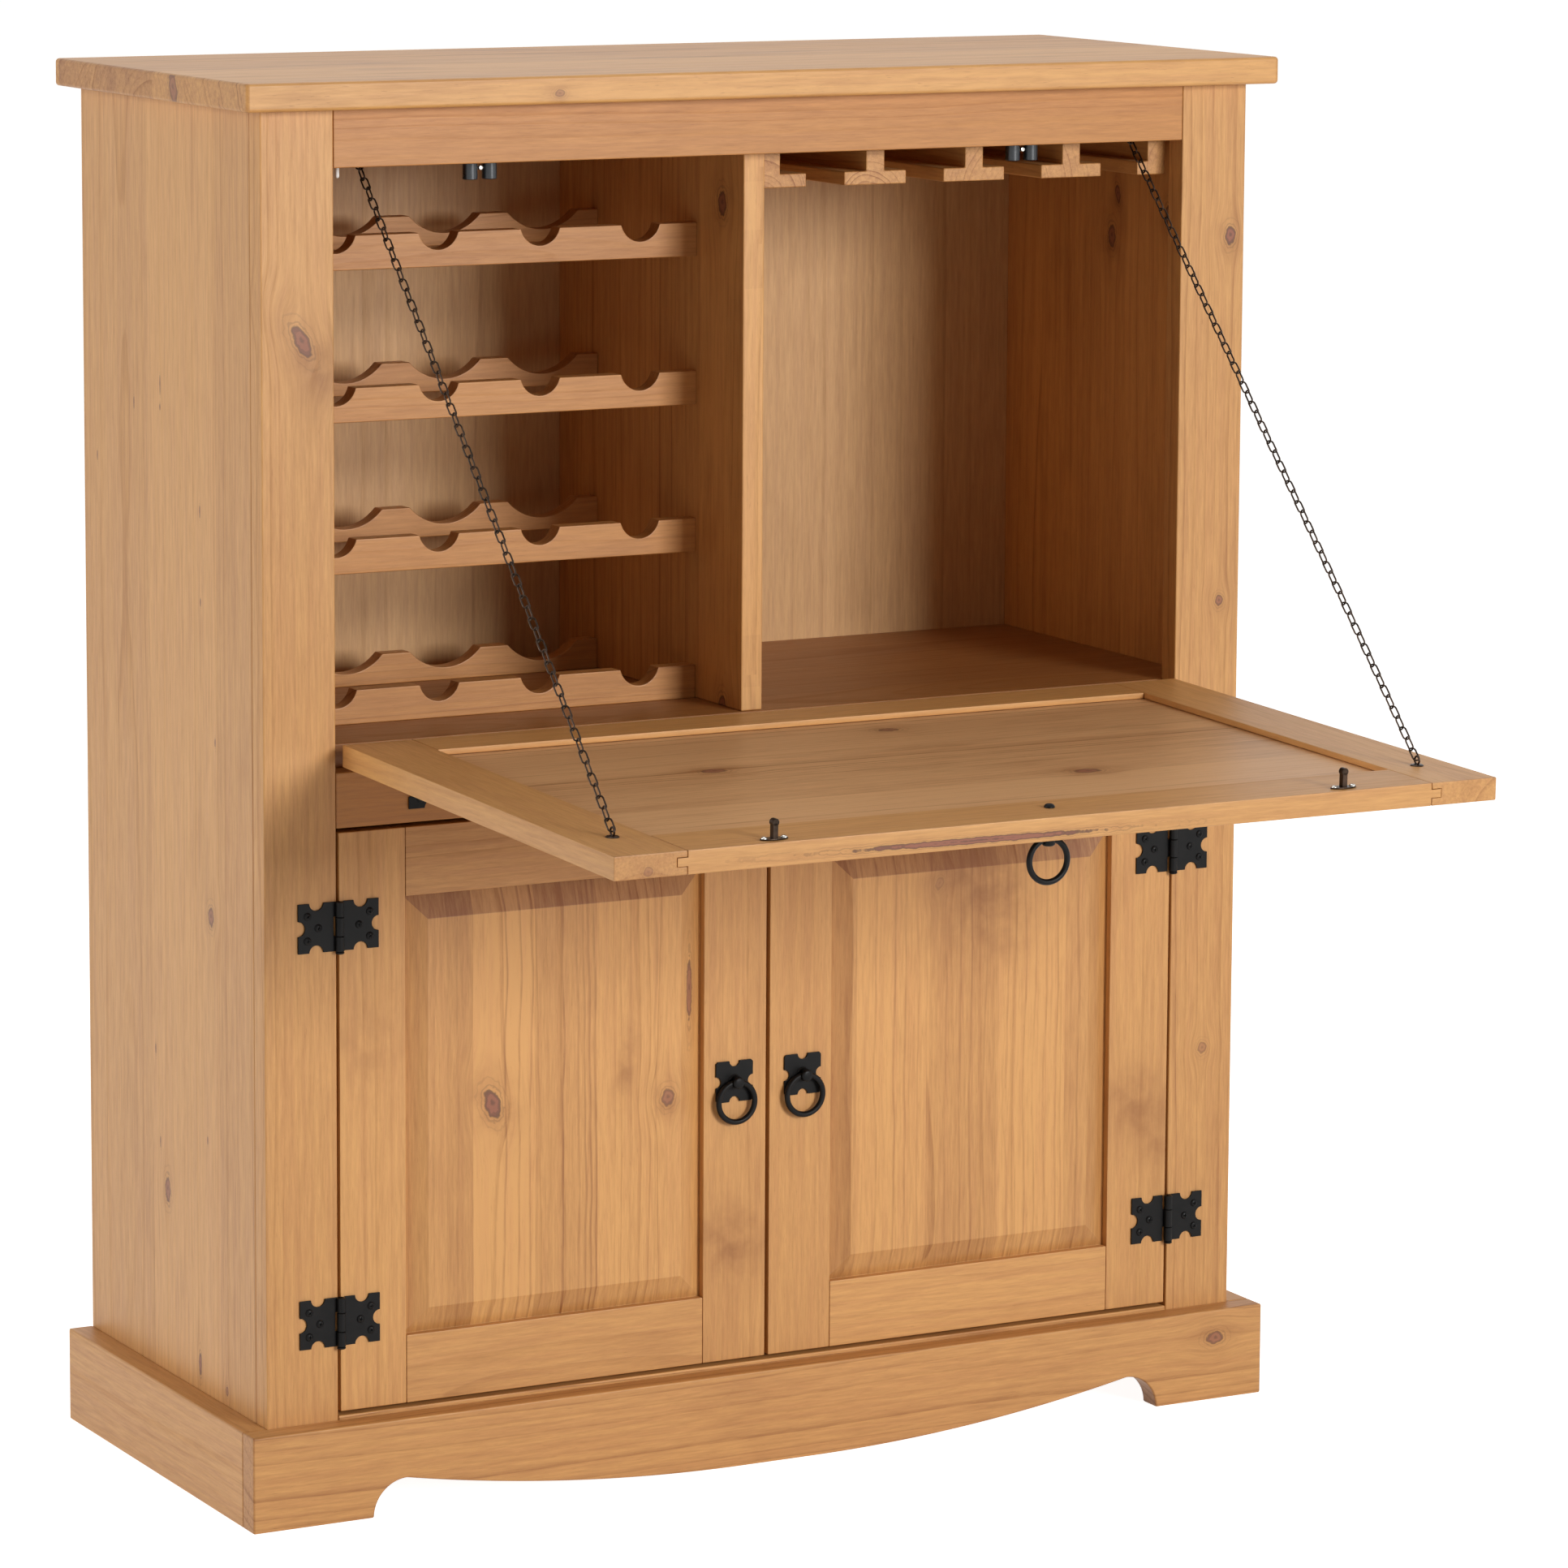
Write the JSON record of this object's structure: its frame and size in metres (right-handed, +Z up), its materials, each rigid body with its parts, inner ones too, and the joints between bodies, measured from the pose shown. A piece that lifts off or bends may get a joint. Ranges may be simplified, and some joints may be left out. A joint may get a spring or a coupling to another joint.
{
  "type": "wine bar cabinet",
  "caption": "Pine wine bar cabinet with a bottle rack, hanging glass rails, a fold-down worktop on chains and a cupboard with panelled doors below.",
  "frame": {"origin": "on the floor, in the middle of the space that the cabinet takes up with its flap open", "axes": "+X to the right along the front, +Y from the front into the cabinet, +Z up"},
  "size_m": [0.88, 0.791, 1.07],
  "materials": {
    "pine": "honey pine, satin lacquer",
    "black_iron": "satin black",
    "zinc_steel": "dull zinc"
  },
  "bodies": {
    "cabinet": {"top_panel": "pine", "left_side_panel": "pine", "left_front_stile": "pine", "right_side_panel": "pine", "right_front_stile": "pine", "top_front_rail": "pine", "middle_front_rail": "pine", "bottom_panel": "pine", "bar_floor": "pine", "back_panel": "pine", "centre_divider": "pine", "plinth_front": "pine", "plinth_left": "pine", "plinth_right": "pine", "neck_bar_1": "pine", "bottle_bar_1": "pine", "neck_bar_2": "pine", "bottle_bar_2": "pine", "neck_bar_3": "pine", "bottle_bar_3": "pine", "neck_bar_4": "pine", "bottle_bar_4": "pine", "glass_rail_1": "pine", "glass_rail_2": "pine", "glass_rail_3": "pine", "glass_rail_4": "pine", "glass_rail_5": "pine", "left_door_top_frame_leaf": "black_iron", "left_door_bottom_frame_leaf": "black_iron", "left_flap_hinge_rail_leaf": "black_iron", "left_roller_catch": "zinc_steel", "right_door_top_frame_leaf": "black_iron", "right_door_bottom_frame_leaf": "black_iron", "right_flap_hinge_rail_leaf": "black_iron", "right_roller_catch": "zinc_steel"},
    "flap": {"flap_frame": "pine", "flap_panel": "pine", "left_flap_hinge_flap_leaf": "black_iron", "left_strike": "zinc_steel", "right_flap_hinge_flap_leaf": "black_iron", "right_strike": "zinc_steel", "flap_pull_plate": "black_iron"},
    "left_door": {"left_door_frame": "pine", "left_door_panel": "pine", "left_door_top_door_leaf": "black_iron", "left_door_bottom_door_leaf": "black_iron", "left_door_pull_plate": "black_iron"},
    "left_door_ring": {"left_door_pull_ring": "black_iron"},
    "left_upper_chain": {"left_chain_upper": "black_iron"},
    "left_lower_chain": {"left_chain_lower": "black_iron"},
    "right_door": {"right_door_frame": "pine", "right_door_panel": "pine", "right_door_top_door_leaf": "black_iron", "right_door_bottom_door_leaf": "black_iron", "right_door_pull_plate": "black_iron"},
    "right_door_ring": {"right_door_pull_ring": "black_iron"},
    "right_upper_chain": {"right_chain_upper": "black_iron"},
    "right_lower_chain": {"right_chain_lower": "black_iron"},
    "flap_ring": {"flap_pull_ring": "black_iron"}
  },
  "joints": [
    {"name": "flap_hinge", "type": "hinge", "parent": "cabinet", "child": "flap", "pos_m": [0, 0.04599, 0.563], "axis": [-1, 0, 0], "range_deg": [0, 91.5], "deforming": ["left_chain_upper", "left_chain_lower", "right_chain_upper", "right_chain_lower"]},
    {"name": "left_door_hinge", "type": "hinge", "parent": "cabinet", "child": "left_door", "pos_m": [-0.361, 0.04599, 0.298], "axis": [0, 0, -1], "range_deg": [0, 170]},
    {"name": "left_door_ring_swing", "type": "hinge", "parent": "left_door", "child": "left_door_ring", "pos_m": [-0.0297, 0.04419, 0.298], "axis": [-1, 0, 0], "range_deg": [-4, 184]},
    {"name": "left_upper_chain_swing", "type": "hinge", "parent": "cabinet", "child": "left_upper_chain", "pos_m": [-0.33, 0.08059, 1.0105], "axis": [1, 0, 0], "range_deg": [0, 43.9]},
    {"name": "left_lower_chain_swing", "type": "hinge", "parent": "flap", "child": "left_lower_chain", "pos_m": [-0.33, -0.33552, 0.57762], "axis": [-1, 0, 0], "range_deg": [0, 44.7]},
    {"name": "right_door_hinge", "type": "hinge", "parent": "cabinet", "child": "right_door", "pos_m": [0.361, 0.04599, 0.298], "axis": [0, 0, 1], "range_deg": [0, 170]},
    {"name": "right_door_ring_swing", "type": "hinge", "parent": "right_door", "child": "right_door_ring", "pos_m": [0.0297, 0.04419, 0.298], "axis": [-1, 0, 0], "range_deg": [-4, 184]},
    {"name": "right_upper_chain_swing", "type": "hinge", "parent": "cabinet", "child": "right_upper_chain", "pos_m": [0.33, 0.08059, 1.0105], "axis": [1, 0, 0], "range_deg": [0, 43.9]},
    {"name": "right_lower_chain_swing", "type": "hinge", "parent": "flap", "child": "right_lower_chain", "pos_m": [0.33, -0.33552, 0.57762], "axis": [-1, 0, 0], "range_deg": [0, 44.7]},
    {"name": "flap_ring_swing", "type": "hinge", "parent": "flap", "child": "flap_ring", "pos_m": [0, -0.36382, 0.55047], "axis": [1, 0, 0], "range_deg": [-92, 95]}
  ],
  "couplings": [
    {"joint": "left_upper_chain_swing", "follows": "flap_hinge", "ratio": 0.47944},
    {"joint": "left_lower_chain_swing", "follows": "flap_hinge", "ratio": 0.48778},
    {"joint": "right_upper_chain_swing", "follows": "flap_hinge", "ratio": 0.47944},
    {"joint": "right_lower_chain_swing", "follows": "flap_hinge", "ratio": 0.48778}
  ]
}
